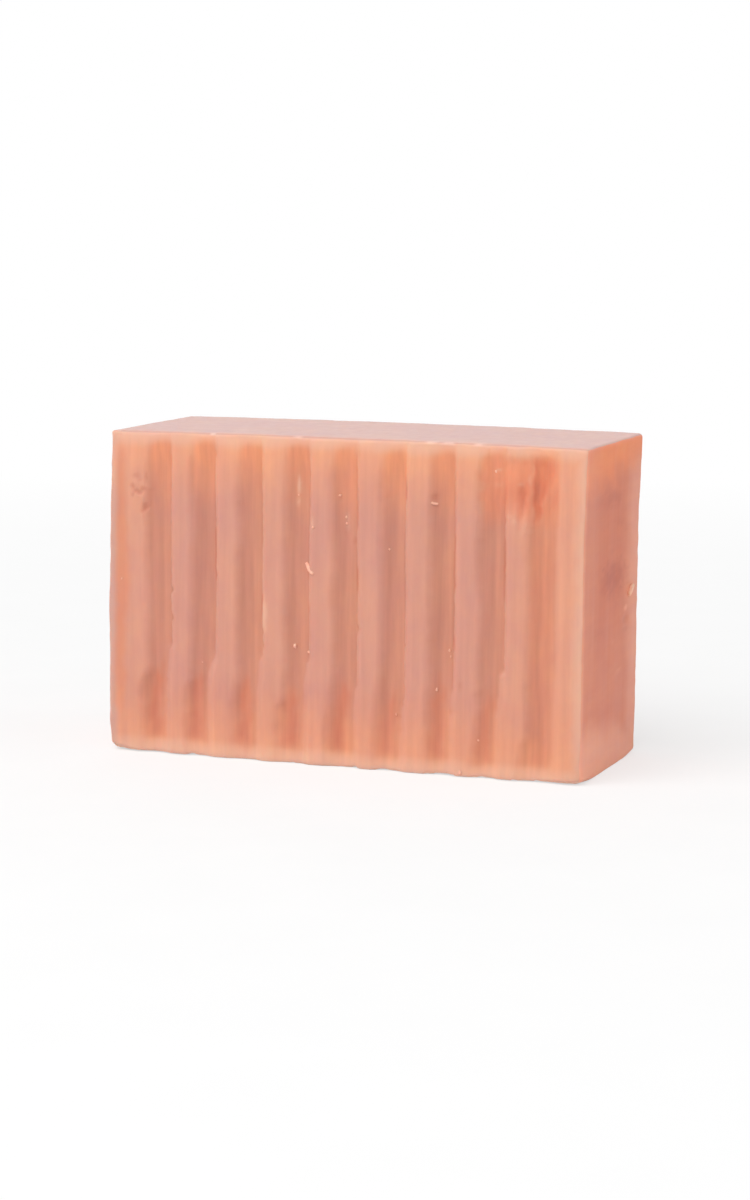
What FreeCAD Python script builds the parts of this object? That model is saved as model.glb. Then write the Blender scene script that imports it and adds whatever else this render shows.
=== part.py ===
"""Shampoo bar: one block of soap whose two large faces are cut with a wavy blade.

Frame: millimetres, +Z up.  The bar stands on its long narrow side.  The origin is the middle of the
footprint, X runs along the length, and Y runs through the thickness, from the front face to the back.

One wavy blade cuts both faces, so the two waves are parallel: behind each groove of the front face
stands a ridge of the same section on the back.  The ends, the base and the top are flat.
"""
import FreeCAD, Part
import os
from math import atan2, cos, pi, sin, sqrt

import Sketcher
from FreeCAD import Vector

# Driving sizes, in millimetres.
SIZES = {
    "bar_length": 80.0,       # along X, between the ends
    "bar_height": 52.0,       # along Z, from the base to the top
    "bar_thickness": 32.5,    # along Y, from the front crests to the back ridges
    "wave_pitch": 8.1,        # from one crest to the next
    "wave_depth": 1.4,        # from a crest down to the floor of a groove
    "crest_flat": 2.1,        # flat strip along a crest
    "floor_flat": 2.0,        # flat strip along the floor of a groove
    "wave_round": 0.8,        # radius at each corner of the wave
    "first_land": 5.2,        # flat strip of the front face before the first groove
    "least_land": 3.0,        # least flat strip that is left after the last groove
    "edge_radius": 0.6,       # softened edges of the ends, the base and the top
    "overlap": 2.0,           # how far a wave section reaches past the face that it changes
}

# What follows from them, as formulas for the sheet.
GROOVE_WIDTH = "(sizes.wave_pitch - sizes.crest_flat)"
GROOVE_ROOM = f"(sizes.bar_length - sizes.first_land - sizes.least_land - {GROOVE_WIDTH})"
GROOVE_COUNT = f"floor({GROOVE_ROOM} / sizes.wave_pitch) + 1"
FIRST_GROOVE_X = f"-sizes.bar_length / 2 + sizes.first_land + {GROOVE_WIDTH} / 2"
FRONT_Y = "-sizes.bar_thickness / 2"
BACK_Y = "sizes.bar_thickness / 2 - sizes.wave_depth"

# The sketcher's numbers for the ends of a curve, for the axes and for the origin.
START, END = 1, 2
X_AXIS, Y_AXIS = -1, -2
ORIGIN = (-1, 1)

TOLERANCE = 1e-6    # an edge this near a plane lies in it


def make_sheet(doc):
    """Put each driving size in a cell of its own, under its name."""
    sheet = doc.addObject("Spreadsheet::Sheet", "sizes")
    for row, (name, value) in enumerate(SIZES.items(), start=1):
        sheet.set(f"A{row}", name)
        sheet.set(f"B{row}", str(value))
        sheet.setAlias(f"B{row}", name)
    doc.recompute()
    return sheet


def new_sketch(body, name):
    """Start a sketch on the body's own ground plane."""
    ground = next(item for item in body.Origin.OriginFeatures if item.Role == "XY_Plane")
    sketch = body.newObject("Sketcher::SketchObject", name)
    sketch.AttachmentSupport = [(ground, "")]
    sketch.MapMode = "FlatFace"
    return sketch


def value_of(sketch, formula):
    """Work out a formula of the sheet's cells."""
    return float(sketch.evalExpression(formula))


def dimension(sketch, name, kind, places, formula):
    """Add a named dimension that follows a formula of the sheet's cells."""
    index = sketch.addConstraint(Sketcher.Constraint(kind, *places, value_of(sketch, formula)))
    sketch.renameConstraint(index, name)
    sketch.setExpression(f"Constraints.{name}", formula)


def relate(sketch, kind, *places):
    """Add a geometric constraint."""
    sketch.addConstraint(Sketcher.Constraint(kind, *places))


def draw_line(sketch, start, end):
    return sketch.addGeometry(Part.LineSegment(Vector(*start, 0), Vector(*end, 0)), False)


def draw_arc(sketch, centre, radius, start_angle, end_angle):
    circle = Part.Circle(Vector(*centre, 0), Vector(0, 0, 1), radius)
    return sketch.addGeometry(Part.ArcOfCircle(circle, start_angle, end_angle), False)


def draw_blank(sketch):
    """Draw the plan of the bar without its back ridges."""
    end_x = value_of(sketch, "sizes.bar_length") / 2
    front_y = value_of(sketch, FRONT_Y)
    back_y = value_of(sketch, BACK_Y)
    corners = [(-end_x, front_y), (end_x, front_y), (end_x, back_y), (-end_x, back_y)]
    front, right, back, left = (
        draw_line(sketch, corner, corners[(turn + 1) % 4]) for turn, corner in enumerate(corners)
    )
    for line, following in ((front, right), (right, back), (back, left), (left, front)):
        relate(sketch, "Coincident", line, END, following, START)
    relate(sketch, "Symmetric", front, START, front, END, Y_AXIS)
    relate(sketch, "Vertical", right)
    relate(sketch, "Vertical", left)
    relate(sketch, "Horizontal", back)
    dimension(sketch, "length", "DistanceX", (front, START, front, END), "sizes.bar_length")
    dimension(sketch, "front", "DistanceY", (front, START, *ORIGIN), f"-({FRONT_Y})")
    dimension(sketch, "back", "DistanceY", (*ORIGIN, back, START), BACK_Y)


def draw_wave_section(sketch):
    """Draw one groove's section about the sketch's Y axis, open side on its X axis, floor above.

    Each side runs from the crest through a round shoulder, a straight flank and a round corner to
    the floor.  Its angle is the one that joins the two flat strips with those two radii.
    """
    half_open = value_of(sketch, GROOVE_WIDTH) / 2
    half_floor = value_of(sketch, "sizes.floor_flat") / 2
    depth = value_of(sketch, "sizes.wave_depth")
    radius = value_of(sketch, "sizes.wave_round")
    run = half_open - half_floor
    rise = depth - 2 * radius
    flank = sqrt(run**2 + rise**2 - (2 * radius) ** 2)
    angle = atan2(rise, run) + atan2(2 * radius, flank)

    floor = draw_line(sketch, (-half_floor, depth), (half_floor, depth))
    right_corner = draw_arc(sketch, (half_floor, depth - radius), radius, pi / 2 - angle, pi / 2)
    left_corner = draw_arc(sketch, (-half_floor, depth - radius), radius, pi / 2, pi / 2 + angle)
    right_shoulder = draw_arc(sketch, (half_open, radius), radius, 3 * pi / 2 - angle, 3 * pi / 2)
    left_shoulder = draw_arc(sketch, (-half_open, radius), radius, 3 * pi / 2, 3 * pi / 2 + angle)
    flank_top = (half_floor + radius * sin(angle), depth - radius + radius * cos(angle))
    flank_foot = (half_open - radius * sin(angle), radius - radius * cos(angle))
    right_flank, left_flank = (
        draw_line(sketch, (side * flank_top[0], flank_top[1]), (side * flank_foot[0], flank_foot[1]))
        for side in (1, -1)
    )
    outer_y = -value_of(sketch, "sizes.overlap")
    right_wall = draw_line(sketch, (half_open, 0), (half_open, outer_y))
    outer_line = draw_line(sketch, (half_open, outer_y), (-half_open, outer_y))
    left_wall = draw_line(sketch, (-half_open, outer_y), (-half_open, 0))

    for first, first_end, second, second_end in (
        (floor, END, right_corner, END),
        (right_corner, START, right_flank, START),
        (right_flank, END, right_shoulder, START),
        (floor, START, left_corner, START),
        (left_corner, END, left_flank, START),
        (left_flank, END, left_shoulder, END),
    ):
        relate(sketch, "Tangent", first, first_end, second, second_end)
    relate(sketch, "Perpendicular", right_shoulder, END, right_wall, START)
    relate(sketch, "Perpendicular", left_shoulder, START, left_wall, END)
    relate(sketch, "Coincident", right_wall, END, outer_line, START)
    relate(sketch, "Coincident", outer_line, END, left_wall, START)
    relate(sketch, "Vertical", right_wall)
    relate(sketch, "Vertical", left_wall)
    relate(sketch, "Horizontal", outer_line)
    relate(sketch, "PointOnObject", right_wall, START, X_AXIS)
    relate(sketch, "Symmetric", right_wall, START, left_wall, END, Y_AXIS)
    relate(sketch, "Symmetric", floor, START, floor, END, Y_AXIS)
    for name, arc in (
        ("right_corner", right_corner),
        ("left_corner", left_corner),
        ("right_shoulder", right_shoulder),
        ("left_shoulder", left_shoulder),
    ):
        dimension(sketch, name, "Radius", (arc,), "sizes.wave_round")
    dimension(sketch, "floor_flat", "DistanceX", (floor, START, floor, END), "sizes.floor_flat")
    dimension(sketch, "width", "DistanceX", (left_wall, END, right_wall, START), GROOVE_WIDTH)
    dimension(sketch, "depth", "DistanceY", (*ORIGIN, floor, END), "sizes.wave_depth")
    dimension(sketch, "reach", "DistanceY", (right_wall, END, *ORIGIN), "sizes.overlap")


def place_wave_section(sketch, face_y):
    """Put the section at the first groove, with its open side on the face at face_y."""
    sketch.setExpression("AttachmentOffset.Base.x", FIRST_GROOVE_X)
    sketch.setExpression("AttachmentOffset.Base.y", face_y)


def add_blank(body):
    sketch = new_sketch(body, "blank_plan")
    draw_blank(sketch)
    blank = body.newObject("PartDesign::Pad", "blank")
    blank.Profile = sketch
    blank.setExpression("Length", "sizes.bar_height")
    return blank


def add_wave(body, kind, name, face_y, backward):
    """Cut or raise one face's wave: a section as high as the bar, repeated along it."""
    sketch = new_sketch(body, f"{name}_section")
    draw_wave_section(sketch)
    place_wave_section(sketch, face_y)
    first = body.newObject(kind, f"first_{name}")
    first.Profile = sketch
    first.Reversed = backward
    first.setExpression("Length", "sizes.bar_height")
    body.Document.recompute()
    wave = body.newObject("PartDesign::LinearPattern", f"{name}s")
    wave.Originals = [first]
    wave.Direction = (sketch, ["H_Axis"])
    wave.Mode = "Spacing"
    wave.setExpression("Offset", "sizes.wave_pitch")
    wave.setExpression("Occurrences", GROOVE_COUNT)
    body.Tip = wave
    body.Document.recompute()
    return wave


def soften_edges(body):
    """Round the four upright edges of the ends, and every edge of the base and the top."""
    base = body.Tip
    box = base.Shape.BoundBox

    def is_outer(edge):
        bounds = edge.BoundBox
        level = bounds.ZLength < TOLERANCE
        at_end = min(abs(bounds.XMin - box.XMin), abs(bounds.XMax - box.XMax)) < TOLERANCE
        return level or (at_end and bounds.XLength < TOLERANCE)

    numbered = enumerate(base.Shape.Edges, start=1)
    names = [f"Edge{number}" for number, edge in numbered if is_outer(edge)]
    softened = body.newObject("PartDesign::Fillet", "softened_edges")
    softened.Base = (base, names)
    softened.setExpression("Radius", "sizes.edge_radius")
    body.Tip = softened
    body.Document.recompute()
    return softened


def make_soap_bar(doc):
    """Build the bar: a blank, grooves cut in its front, ridges left on its back, soft edges."""
    body = doc.addObject("PartDesign::Body", "soap_bar")
    body.Label = "soap_bar"
    blank = add_blank(body)
    doc.recompute()
    grooves = add_wave(body, "PartDesign::Pocket", "groove", FRONT_Y, backward=True)
    ridges = add_wave(body, "PartDesign::Pad", "ridge", BACK_Y, backward=False)
    softened = soften_edges(body)
    volumes = [feature.Shape.Volume for feature in (blank, grooves, ridges, softened)]
    if not (volumes[1] < volumes[0] and volumes[2] > volumes[1] and volumes[3] < volumes[2]):
        raise RuntimeError(f"a feature changed nothing, volumes in mm3: {volumes}")
    return body


def check(doc, bodies):
    """Stop before anything is written if any object failed or any body isn't one good solid."""
    for item in doc.Objects:
        if "Invalid" in item.State or "Error" in item.State:
            raise RuntimeError(f"{item.Name} is {item.State}")
    for body in bodies:
        if body.Shape.isNull() or not body.Shape.isValid() or len(body.Shape.Solids) != 1:
            raise RuntimeError(f"{body.Label} isn't one valid solid")


def main():
    doc = FreeCAD.newDocument("shampoo_bar")
    make_sheet(doc)
    bodies = [make_soap_bar(doc)]
    check(doc, bodies)
    os.makedirs("parts", exist_ok=True)
    for body in bodies:
        body.Shape.exportStep(os.path.join("parts", f"{body.Label}.step"))
        box = body.Shape.BoundBox
        print(
            f"{body.Label}: {box.XLength:.2f} x {box.YLength:.2f} x {box.ZLength:.2f} mm, "
            f"{body.Shape.Volume / 1000:.2f} cm3, {len(body.Shape.Faces)} faces"
        )


main()
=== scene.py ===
"""The looks of a solid shampoo bar: a soap block sliced with a crinkle cutter, standing on its long side.

One dense mesh replaces the CAD bar. It starts as a grid on the surface of a plain block. Every shape and
every stain, and every light and shade painted into the colour, is a function of a point's place on that
block, so they always line up. Lengths are in millimetres, except in the studio.

X runs to the right along the bar, Y from its front to its back, and Z up. A fade is a pair: the value where
it starts and the value where it is full. A band is a fade with its full strength written first.

In noise() and rough() the number beside a coordinate sets the size of a cell: times 0.5 or over 2, both make
it 2 mm long. The number beside k keeps the noises of the grooves apart.
"""

import math
from types import SimpleNamespace

import bmesh
import bpy
import numpy as np
from mathutils import Matrix, Vector


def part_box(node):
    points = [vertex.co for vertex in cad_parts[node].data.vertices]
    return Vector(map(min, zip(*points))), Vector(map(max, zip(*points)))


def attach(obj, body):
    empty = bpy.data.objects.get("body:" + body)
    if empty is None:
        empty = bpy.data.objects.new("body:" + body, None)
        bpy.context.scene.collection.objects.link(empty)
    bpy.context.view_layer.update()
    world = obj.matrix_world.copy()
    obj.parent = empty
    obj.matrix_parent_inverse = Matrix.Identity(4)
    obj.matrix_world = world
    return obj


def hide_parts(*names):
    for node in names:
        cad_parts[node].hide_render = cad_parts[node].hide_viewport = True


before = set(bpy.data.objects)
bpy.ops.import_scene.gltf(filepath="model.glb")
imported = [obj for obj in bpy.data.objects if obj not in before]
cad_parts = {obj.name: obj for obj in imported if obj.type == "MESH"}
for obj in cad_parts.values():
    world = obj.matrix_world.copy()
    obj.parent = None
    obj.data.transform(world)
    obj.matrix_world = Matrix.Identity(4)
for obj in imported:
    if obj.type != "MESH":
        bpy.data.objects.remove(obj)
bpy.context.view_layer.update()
scene = bpy.context.scene

MM = 0.001
SEED = 11
FRONT_SEED, BACK_SEED = 100, 200  # added to the noises of the two waved faces
BITE_SEED = 30  # added to those for the bites in the crests

# The block, from the frame.
BLOCK_LOW, BLOCK_HIGH = (np.array(corner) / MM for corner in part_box("soap_bar"))
LEFT, FRONT, BOTTOM = BLOCK_LOW
RIGHT, BACK, TOP = BLOCK_HIGH
HALF_LENGTH = (RIGHT - LEFT) / 2
TOP_RISE = 0.42  # the top is cut this much high


# ======== numbers
NOISE_CELLS = 64  # a noise repeats after this many cells
OCTAVE_SEED = 31  # from the seed of one octave to the next
SPREAD_STEPS = 4001


def smooth(start, full, value):
    """0 up to start, 1 from full on, and an S-curve between. It falls where start is above full."""
    part = np.clip((value - start) / (full - start), 0, 1)
    return part * part * (3 - 2 * part)


def banded(band, value):
    """The strength of a band at a value."""
    strength, start, full = band
    return strength * smooth(start, full, value)


def scooped(start, full, value):
    """0 up to start, rising at once and levelling out to 1 at full."""
    left = 1 - np.clip((value - start) / (full - start), 0, 1)
    return 1 - left * left


def noise(seed, across, up=0.0):
    """Smooth noise from -1 to 1 with a cell one unit wide."""
    table = np.random.default_rng(SEED * 1000 + seed).uniform(-1, 1, (NOISE_CELLS, NOISE_CELLS))
    across, up = np.broadcast_arrays(np.asarray(across, float), np.asarray(up, float))
    i, j = np.floor(across).astype(int), np.floor(up).astype(int)
    s, t = across - i, up - j
    s, t = s * s * (3 - 2 * s), t * t * (3 - 2 * t)
    i, j, right, above = (n % NOISE_CELLS for n in (i, j, i + 1, j + 1))
    near = table[i, j] * (1 - s) + table[right, j] * s
    far = table[i, above] * (1 - s) + table[right, above] * s
    return near * (1 - t) + far * t


def rough(seed, across, up=0.0, octaves=3):
    """Noise with finer and finer grain added."""
    total = 0
    for k in range(octaves):
        total = total + noise(seed + OCTAVE_SEED * k, across * 2 ** k, up * 2 ** k) * 0.5 ** k
    return total / (2 - 0.5 ** (octaves - 1))


def spread(start, end, count, crowds):
    """count + 1 values from start to end, closer together near each (place, reach, weight) in crowds."""
    fine = np.linspace(start, end, SPREAD_STEPS)
    density = np.ones_like(fine)
    for place, reach, weight in crowds:
        density += weight * np.exp(-((fine - place) / reach) ** 2)
    filled = np.concatenate([[0], np.cumsum((density[1:] + density[:-1]) / 2)])
    return np.interp(np.linspace(0, filled[-1], count + 1), filled, fine)


# ======== the crinkle cut
PITCH = 8.1  # from one crest to the next
GROOVE_COUNT = 9
LAST_GROOVE = GROOVE_COUNT - 1
FIRST_GROOVE = -30.5  # the middle of the first groove's floor, but for its shift
FIRST_SHIFT = 0.4  # how far the first groove lies right of its place in the row
CENTRE_SHIFT = 0.12  # how far any groove may lie from its place
CENTRE_SWAY = 0.10  # how far it sways on its way up
FRONT_DEPTH = 1.0
BACK_DEPTH = 0.9
BACK_STEP = 0.8  # how far the back's recesses lie inside the bar's full thickness
DEPTH_VARIETY = 0.08  # how much the depth differs, as a share
FLOOR_WIDTH = 1.2
GENTLE_WALL = 3.1  # width of the wall on a groove's left, which faces right
STEEP_WALL = 0.9  # width of the wall on a groove's right, which faces left
LOW_WALL = 1.3  # how much wider the steep wall is near the foot
LOW_WALL_FADE = (2, -3)  # where it widens, from the height where that wall starts to move
LAST_WALL = 2.4  # how much wider the steep wall is on the last groove
WALL_LEAN = 0.3  # the share of that extra width which lies on the floor's side

# Near the foot the knife wandered left. For each groove: the height below which its left wall moves,
# how far that wall moves, and the same two for its right wall.
WANDERS = [
    (16.0, 1.0, 18.0, 1.15), (15.0, 1.2, 17.0, 1.5), (15.0, 1.0, 17.0, 1.05),
    (13.0, 1.35, 17.5, 1.15), (13.0, 1.0, 14.0, 0.55), (16.0, 1.0, 11.5, 1.0),
    (16.0, 0.4, 14.0, 0.7), (11.0, 0.75, 17.0, 1.4), (10.0, 1.35, 17.5, 0.35),
]
WANDER_LENGTH, WANDER_VARIETY = 6.5, 2.5  # how far down a wall goes on moving, and how much that differs
WANDER_WAVES = 1.2
SUDDEN_LEFT, SUDDEN_RIGHT = 0.0, 0.5  # the share of a wall's way that comes in one step
SUDDEN_FADE = (-0.2, -1.2)  # that step, from the height where the wall starts to move

BITES, BITE_FADE = 0.40, (0.35, 0.8)  # how deep the bites are, and the noise that makes them
SMALL_BITES = 0.09
WALL_STEPS, STEP_LEVELS = 0.30, 2.5  # how far a gentle wall jumps sideways, and in how many levels
WALL_WAVES, WALL_GRAIN = 0.15, 0.12
LOW_WAVES, LOW_WAVES_FADE = 0.4, (21, 15)

WORN_FOOT = (0.30, 3.0, 0.3)  # how much the cut is worn, by the distance from the foot
WORN_TOP = (0.8, 6.0, 0.8)  # and from the top
WORN_LEVEL = 0.45  # the depth that a worn cut tends to, as a share

CREASE_PLACE = 0.35  # how far a crease lies from the floor's right foot
CREASE_SIDES = (0.42, 0.12)
CREASE_NOISE = (0.1, 0.6)
CREASE_LOW, CREASE_HIGH = (17, 21), (48, 44)


def wandered(k, z, start, sudden, seed):
    """How much of its way to the left a wall of groove k has moved at height z, 0 to 1. A sudden share of it
    comes in one step, just below the height start."""
    length = WANDER_LENGTH + WANDER_VARIETY * noise(seed + 3, 3.9 * k + 0.5)
    place = z + WANDER_WAVES * rough(seed + 2, 9.1 * k, z * 0.6)
    step = smooth(start + SUDDEN_FADE[0], start + SUDDEN_FADE[1], place)
    return sudden * step + (1 - sudden) * smooth(start, start - length, place)


def bitten(k, z, seed):
    """How far the knife tore into a crest's left edge."""
    bites = BITES * smooth(*BITE_FADE, rough(seed, 13.3 * k, z * 0.45))
    return bites + SMALL_BITES * rough(seed + 1, 11.7 * k, z * 1.1)


def ragged(k, z, seed):
    """How far a gentle wall strays from its line."""
    steps = np.round(STEP_LEVELS * noise(seed + 5, 6.1 * k + 0.5, z * 0.22)) / STEP_LEVELS
    waves = WALL_STEPS * steps + WALL_WAVES * rough(seed + 2, 11.7 * k, z * 0.25)
    waves = waves + WALL_GRAIN * rough(seed + 3, 8.3 * k, z)
    return waves + LOW_WAVES * smooth(*LOW_WAVES_FADE, z) * rough(seed + 6, 9.3 * k, z * 0.55)


def steep_wall_width(k, z):
    """Width of groove k's right wall at height z."""
    start = WANDERS[k][2]
    low = smooth(start + LOW_WALL_FADE[0], start + LOW_WALL_FADE[1], z)
    return STEEP_WALL + LOW_WALL * low + (LAST_WALL if k == LAST_GROOVE else 0)


def grooves(x, z, seed):
    """Each groove in turn: its number, the place across it, and its floor's two feet."""
    for k in range(GROOVE_COUNT):
        centre = FIRST_GROOVE + PITCH * k + CENTRE_SHIFT * noise(seed, 5.7 * k + 0.5)
        centre = centre + CENTRE_SWAY * noise(seed + 1, 3.3 * k, z / 9)
        centre = centre + (FIRST_SHIFT if k == 0 else 0)
        left_start, left_way, right_start, right_way = WANDERS[k]
        left_foot = -FLOOR_WIDTH / 2 - left_way * wandered(k, z, left_start, SUDDEN_LEFT, seed + 10)
        right_foot = FLOOR_WIDTH / 2 - right_way * wandered(k, z, right_start, SUDDEN_RIGHT, seed + 20)
        yield k, x - centre, left_foot, right_foot


def cut_depth(x, z, seed):
    """0 on a crest and about 1 on a groove's floor."""
    deep = np.zeros(np.broadcast(x, z).shape)
    for k, across, left_foot, right_foot in grooves(x, z, seed):
        gentle = scooped(left_foot - GENTLE_WALL, left_foot, across + ragged(k, z, seed))
        wall = steep_wall_width(k, z)
        right_foot = right_foot + bitten(k, z, seed + BITE_SEED) - WALL_LEAN * (wall - STEEP_WALL)
        steep = smooth(right_foot + wall, right_foot, across)
        strength = 1 + DEPTH_VARIETY * noise(seed + 4, 4.9 * k, z / 11)
        deep = np.maximum(deep, strength * np.minimum(gentle, steep))
    return deep


def worn_depth(x, z, seed):
    """The depth of the cut where its ends are worn shallow, at the top and the foot."""
    deep = cut_depth(x, z, seed)
    worn = np.maximum(banded(WORN_FOOT, z - BOTTOM), banded(WORN_TOP, TOP - z))
    return deep + worn * (WORN_LEVEL - deep)


def groove_place(x, z, seed):
    """The place across the nearest groove, from the middle of its floor."""
    place = np.full(np.broadcast(x, z).shape, -PITCH / 2)
    for k, across, left_foot, right_foot in grooves(x, z, seed):
        here = across - (left_foot + right_foot) / 2
        place = np.where(abs(here) <= PITCH / 2, here, place)
    return place


def crease(x, z):
    """Thin lines at the foot of some of the front's steep walls, 0 to 1, sunk a little and darkened with
    painted shade.
    """
    line = np.zeros(np.broadcast(x, z).shape)
    for k in range(LAST_GROOVE):
        foot = FIRST_GROOVE + PITCH * k + FLOOR_WIDTH / 2 + CREASE_PLACE
        foot = foot + bitten(k, z, FRONT_SEED + BITE_SEED)
        along = smooth(*CREASE_NOISE, noise(35, 7.7 * k + 0.5, z / 5))
        along = along * smooth(*CREASE_LOW, z) * smooth(*CREASE_HIGH, z)
        line = np.maximum(line, along * smooth(*CREASE_SIDES, abs(x - foot)))
    return line


# ======== marks on their face
# Each is (across, up, half width, half height, strength).
# The nicks are darkened inside with painted shade.
NICKS = [
    (-35.1, 44.8, 0.8, 0.45, 0.5), (-34.4, 44.3, 0.5, 0.35, 0.35), (-35.7, 43.1, 0.45, 0.5, 0.6),
    (-35.1, 42.5, 0.5, 0.4, 0.8), (-34.5, 42.2, 0.6, 0.35, 0.9), (-33.9, 42.7, 0.45, 0.45, 0.7),
    (-35.7, 41.8, 0.3, 0.35, 0.5), (-33.6, 39.9, 0.42, 0.8, 1.0), (-34.0, 39.2, 0.35, 0.3, 0.7),
    (-33.4, 44.8, 0.18, 0.8, 0.5), (15.6, 43.5, 0.55, 0.45, 1.0), (-0.2, 42.5, 0.4, 0.3, 0.6),
    (7.9, 43.4, 0.7, 0.25, 0.4), (2.2, 36.0, 0.3, 0.5, 0.4), (9.6, 8.9, 0.8, 0.2, 0.5),
    (20.3, 14.5, 0.3, 0.8, 0.4), (18.9, 16.9, 0.2, 0.9, 0.4), (32.2, 45.0, 0.4, 2.0, 0.6),
    (30.0, 43.6, 0.45, 2.6, 0.5),
]
TEARS = [
    (30.2, 47.7, 0.9, 1.3, 0.25), (30.0, 44.4, 0.9, 2.2, 0.75), (29.6, 41.4, 0.5, 1.8, 0.4),
    (27.0, 44.4, 0.25, 3.0, 0.35),
]
PALE_SPOTS = [
    (28.6, 40.4, 0.6, 0.5, 0.2), (28.0, 41.1, 0.5, 0.4, 0.2), (29.6, 46.1, 0.5, 0.3, 0.3),
    (31.0, 46.9, 0.3, 0.7, 0.2), (25.9, 48.1, 0.6, 0.25, 0.4), (25.9, 45.9, 0.8, 0.5, 0.15),
    (-33.7, 40.8, 0.3, 0.25, 0.3), (-12.9, 23.5, 0.5, 2.6, 0.8), (-12.9, 26.0, 0.3, 1.2, 0.4),
    # The first two below are a painted highlight down the front's right edge.
    (39.4, 39.2, 0.5, 4.2, 0.7), (39.5, 33.0, 0.4, 5.0, 0.6), (-7.2, 44.2, 0.25, 1.4, 0.9),
    (-7.4, 41.8, 0.3, 0.8, 0.7), (-4.6, 38.2, 0.25, 1.0, 0.6), (1.0, 38.6, 0.2, 1.6, 0.6),
]
BRUISES = [
    (1.0, 30.5, 6.5, 2.6, 0.9), (-1.0, 43.0, 6.0, 1.2, 0.5), (4.5, 38.8, 3.0, 0.7, 0.35),
    (9.0, 37.5, 3.0, 0.6, 0.3), (-8.0, 22.5, 3.0, 0.7, 0.3), (6.0, 28.0, 3.0, 1.0, 0.3),
    (9.5, 31.0, 3.2, 0.3, 0.7), (10.5, 28.6, 2.6, 0.3, 0.5),
]
PITS = [(8.8, 23.0, 1.6, 0.8, 0.7), (8.6, 21.4, 1.4, 0.5, 0.4)]
FLAKES = [
    (10.9, 27.3, 1.4, 0.55, 1.0), (8.7, 24.7, 1.3, 0.6, 0.9), (11.5, 22.2, 1.8, 0.8, 0.5),
    (10.4, 29.7, 1.8, 0.3, 0.4), (9.6, 32.0, 1.8, 0.5, 0.4), (4.8, 15.1, 1.6, 0.35, 0.5),
    (1.2, 20.3, 1.6, 0.4, 0.3), (-11.0, 7.6, 0.8, 0.8, 0.3), (-13.5, 41.0, 1.5, 1.2, 0.25),
    (-12.0, 46.7, 1.2, 0.8, 0.3),
]
MARK_FADE = (1.6, 0.1)  # a mark's edge, in its own half widths
MARK_ROUGHNESS, BRUISE_ROUGHNESS = 0.45, 0.8

# Raised chips on the top front edge, pale with a painted highlight, each (across, half width).
EDGE_CHIPS = [(-7.3, 0.7), (15.0, 0.9), (17.6, 1.3), (22.7, 1.0), (-22.0, 0.5)]
CHIP_SIDES, CHIP_ROUGHNESS = (1.4, 0.2), 0.6
CHIP_FOOT = (0.6, 0.1)  # how far down they reach

# The corner that the knife tore, at the front's top right.
TORN_LEFT, TORN_LEFT_WAVES = (22.6, 24.5), 0.9
TORN_RIGHT = (36.2, 35.2)
TORN_LOW, TORN_LOW_WAVES = (38.8, 44.5), 2.4
TORN_TOP = (50.8, 49.0)

# The deepest tear in it, whose sides are measured from its left one.
TEAR_PLACE, TEAR_WAVES = 31.7, 0.35
TEAR_LEFT, TEAR_RIGHT = (-0.15, 0.25), (1.3, 0.8)
TEAR_WIDENING = (2.6, 1.2)  # how much farther its right side lies at the top
TEAR_WIDENS = (42, 48)
TEAR_LOW, TEAR_TOP = (38.6, 42.5), (51.0, 48.9)


def dented(across, up, marks, roughness=MARK_ROUGHNESS):
    """Each mark's strength inside it and 0 outside, with ragged edges."""
    deep = np.zeros(np.broadcast(across, up).shape)
    edge = roughness * rough(45, across * 1.3, up * 1.3)
    for middle, height, half_width, half_height, strength in marks:
        reach = np.hypot((across - middle) / half_width, (up - height) / half_height)
        deep = np.maximum(deep, strength * smooth(*MARK_FADE, reach + edge))
    return deep


def chipped(x, z):
    """Raised pale chips along the top front edge, 0 to 1, coloured with a painted highlight."""
    chips = np.zeros(np.broadcast(x, z).shape)
    edge = CHIP_ROUGHNESS * rough(46, x * 1.5, z)
    for middle, half_width in EDGE_CHIPS:
        chips = np.maximum(chips, smooth(*CHIP_SIDES, abs(x - middle) / half_width + edge))
    return chips * smooth(*CHIP_FOOT, TOP - z)


def torn_mask(x, z):
    """Where the knife tore the front face's top right corner."""
    sides = smooth(*TORN_LEFT, x + TORN_LEFT_WAVES * rough(41, z * 0.7)) * smooth(*TORN_RIGHT, x)
    ends = smooth(*TORN_LOW, z + TORN_LOW_WAVES * rough(42, x * 0.5, 0.3)) * smooth(*TORN_TOP, z)
    return sides * ends


def tear_mask(x, z):
    """The deepest tear, sharp on its left side and narrower downwards. The marks in TEARS join it."""
    from_side = x - TEAR_PLACE - TEAR_WAVES * rough(47, z * 0.5)
    widening = smooth(*TEAR_WIDENS, z)
    outer, inner = (TEAR_RIGHT[i] + TEAR_WIDENING[i] * widening for i in range(2))
    sides = smooth(*TEAR_LEFT, from_side) * smooth(outer, inner, from_side)
    ends = smooth(*TEAR_LOW, z) * smooth(*TEAR_TOP, z)
    return np.maximum(sides * ends, dented(x, z, TEARS))


# ======== the block's shape
EDGE_RADIUS = 0.62
EDGE_VARIETY = (0.16, 0.12)  # how much that differs, by each of two noises
SHARP_FOOT = (0.5, 3, 1)  # the share by which it is less near the foot
CORNER_RADIUS = 0.9  # how much larger it is at a low corner
# Each low corner is (its end, its face, its share of that, and how far it reaches along X, Y and Z).
LOW_CORNERS = [(RIGHT, FRONT, 1.0, 7, 9, 7), (RIGHT, BACK, 0.9, 5, 7, 6), (LEFT, FRONT, 1.3, 6, 9, 5)]

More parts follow.
